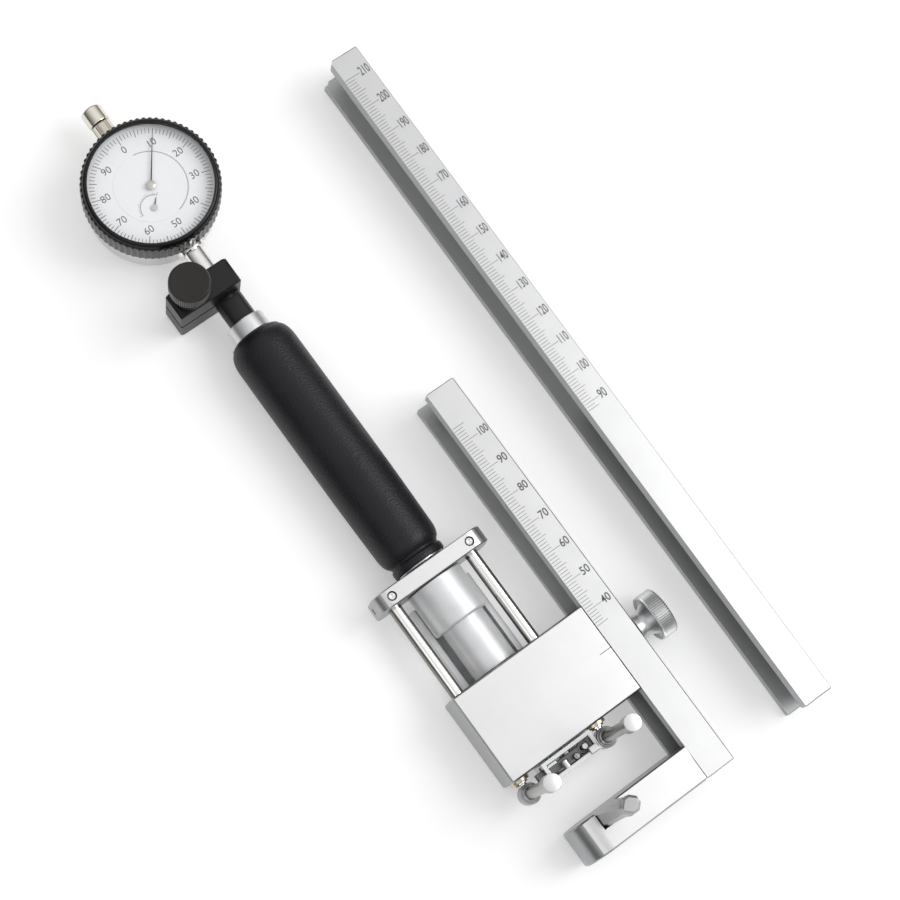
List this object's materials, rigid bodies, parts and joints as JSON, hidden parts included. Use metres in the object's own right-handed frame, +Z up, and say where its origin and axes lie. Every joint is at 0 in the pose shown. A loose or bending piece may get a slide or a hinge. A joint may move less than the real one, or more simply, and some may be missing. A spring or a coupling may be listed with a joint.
{
  "type": "dial bore gauge",
  "caption": "Dial gauge for wide bores and grooves: sliding block head with two pins, handle, clamped dial indicator, scale bar with a fixed arm, and a longer spare bar.",
  "frame": {"origin": "under the middle of the carriage block, on the surface the gauge lies on, below the axis of the handle", "axes": "+X towards the scale bar, +Y along the handle towards the dial, +Z up, the way the dial faces"},
  "size_m": [0.0956, 0.2651, 0.0515],
  "materials": {
    "satin_steel": "satin ground and matt chromed",
    "satin_aluminium": "satin anodised",
    "bright_steel": "machined",
    "chrome": "polished",
    "nickel": "nickel plated",
    "brass": "machined",
    "blackened_steel": "oil blackened",
    "black_paint": "black oxide, semi-gloss",
    "black_plastic": "gloss, moulded",
    "grip": "fine leather grain",
    "dial": "matt white, printed",
    "pointer": "blued steel",
    "crystal": "clear"
  },
  "bodies": {
    "frame": {"carriage_block": "satin_steel", "front_bush_left": "brass", "front_bush_right": "brass", "rear_bush_left": "brass", "rear_bush_right": "brass", "sleeve_cradle": "satin_steel", "stop_bracket": "bright_steel", "bracket_screw_1": "bright_steel", "bracket_screw_2": "bright_steel", "stop_pivot_pin": "bright_steel", "spring_post": "satin_steel", "push_rod": "bright_steel", "return_spring": "bright_steel"},
    "head": {"column_left": "chrome", "column_right": "chrome", "column_set_screw_left": "chrome", "column_set_screw_right": "chrome", "measuring_pin_left": "chrome", "measuring_pin_right": "chrome", "top_plate": "satin_steel", "outer_sleeve": "satin_steel", "handle_tube": "satin_steel", "grip_ring": "satin_steel", "grip": "grip", "grip_collar": "satin_steel", "neck_adapter": "black_paint", "clamp_body": "black_paint"},
    "stop_lever": {"stop_lever": "blackened_steel"},
    "clamp_pad": {"clamp_washer": "blackened_steel"},
    "clamp_screw": {"clamp_knob": "black_paint"},
    "indicator": {"case": "satin_steel", "back_cover": "satin_steel", "back_cover_screw_1": "bright_steel", "back_cover_screw_2": "bright_steel", "back_cover_screw_3": "bright_steel", "stem": "chrome", "cap_collar": "nickel", "cap": "nickel", "movement_plate": "brass", "movement_bridge": "brass", "plunger_spring": "bright_steel"},
    "plunger": {"plunger": "bright_steel", "contact_tip": "bright_steel"},
    "bezel": {"bezel": "black_plastic", "crystal": "crystal", "dial_plate": "dial"},
    "pointer": {"main_pointer": "pointer", "centre_pinion": "bright_steel"},
    "counter": {"counter_gear": "brass", "counter_pointer": "pointer"},
    "takeup": {"takeup_gear": "brass", "hairspring": "bright_steel"},
    "bar": {"scale_bar": "satin_aluminium", "arm_screw_1": "bright_steel", "arm_screw_2": "bright_steel", "fixed_arm": "satin_aluminium", "fixed_anvil": "bright_steel"},
    "bar_clamp_pad": {"bar_clamp_washer": "bright_steel"},
    "bar_clamp_screw": {"bar_clamp_knob": "bright_steel"},
    "long_bar": {"long_scale_bar": "satin_aluminium"}
  },
  "joints": [
    {"name": "head_slide", "type": "slide", "parent": "frame", "child": "head", "axis": [0, -1, 0], "range_m": [0, 0.003], "stiffness_N_per_m": 400, "springref_m": -0.003, "deforming": ["return_spring"]},
    {"name": "bar_slide", "type": "slide", "parent": "frame", "child": "bar", "axis": [0, -1, 0], "range_m": [0, 0.077]},
    {"name": "bar_clamp_turn", "type": "hinge", "parent": "bar_clamp_pad", "child": "bar_clamp_screw", "pos_m": [0.0387, 0, 0.00875], "axis": [-1, 0, 0], "range_deg": [0, 360]},
    {"name": "bar_clamp_back_off", "type": "slide", "parent": "frame", "child": "bar_clamp_pad", "axis": [1, 0, 0], "range_m": [0, 0.0007]},
    {"name": "clamp_turn", "type": "hinge", "parent": "clamp_pad", "child": "clamp_screw", "pos_m": [-0.0105, 0.1522, 0.021], "axis": [0, 0, 1], "range_deg": [0, 360]},
    {"name": "clamp_back_off", "type": "slide", "parent": "head", "child": "clamp_pad", "axis": [0, 0, 1], "range_m": [0, 0.0007]},
    {"name": "indicator_swivel", "type": "hinge", "parent": "head", "child": "indicator", "pos_m": [0, 0.1865, 0.0102], "axis": [0, 1, 0], "range_deg": [-90, 90]},
    {"name": "bezel_turn", "type": "hinge", "parent": "indicator", "child": "bezel", "pos_m": [0, 0.1865, 0.0175], "axis": [0, 0, 1], "continuous": true},
    {"name": "plunger_slide", "type": "slide", "parent": "indicator", "child": "plunger", "axis": [0, 1, 0], "range_m": [0, 0.003]},
    {"name": "counter_turn", "type": "hinge", "parent": "indicator", "child": "counter", "pos_m": [-0.003, 0.1805, 0.0102], "axis": [0, 0, 1], "range_deg": [0, 135]},
    {"name": "pointer_turn", "type": "hinge", "parent": "indicator", "child": "pointer", "pos_m": [0, 0.1865, 0.0102], "axis": [0, 0, 1], "range_deg": [-1080, 0]},
    {"name": "takeup_turn", "type": "hinge", "parent": "indicator", "child": "takeup", "pos_m": [0.003, 0.1925, 0.0102], "axis": [0, 0, 1], "range_deg": [0, 135]},
    {"name": "stop_lever_turn", "type": "hinge", "parent": "frame", "child": "stop_lever", "pos_m": [0.0058, -0.0181, 0.0145], "axis": [0, 0, 1], "range_deg": [-3, 3]},
    {"name": "long_bar_lift", "type": "slide", "parent": "frame", "child": "long_bar", "axis": [0, 0, 1], "range_m": [0, 0.15]}
  ],
  "couplings": [
    {"joint": "plunger_slide", "follows": "head_slide", "ratio": 1},
    {"joint": "counter_turn", "follows": "head_slide", "rad_per_m": 785.4},
    {"joint": "pointer_turn", "follows": "head_slide", "rad_per_m": -6283.2},
    {"joint": "takeup_turn", "follows": "head_slide", "rad_per_m": 785.4},
    {"joint": "bar_clamp_turn", "follows": "bar_clamp_back_off", "rad_per_m": 8976},
    {"joint": "clamp_turn", "follows": "clamp_back_off", "rad_per_m": 8976}
  ]
}
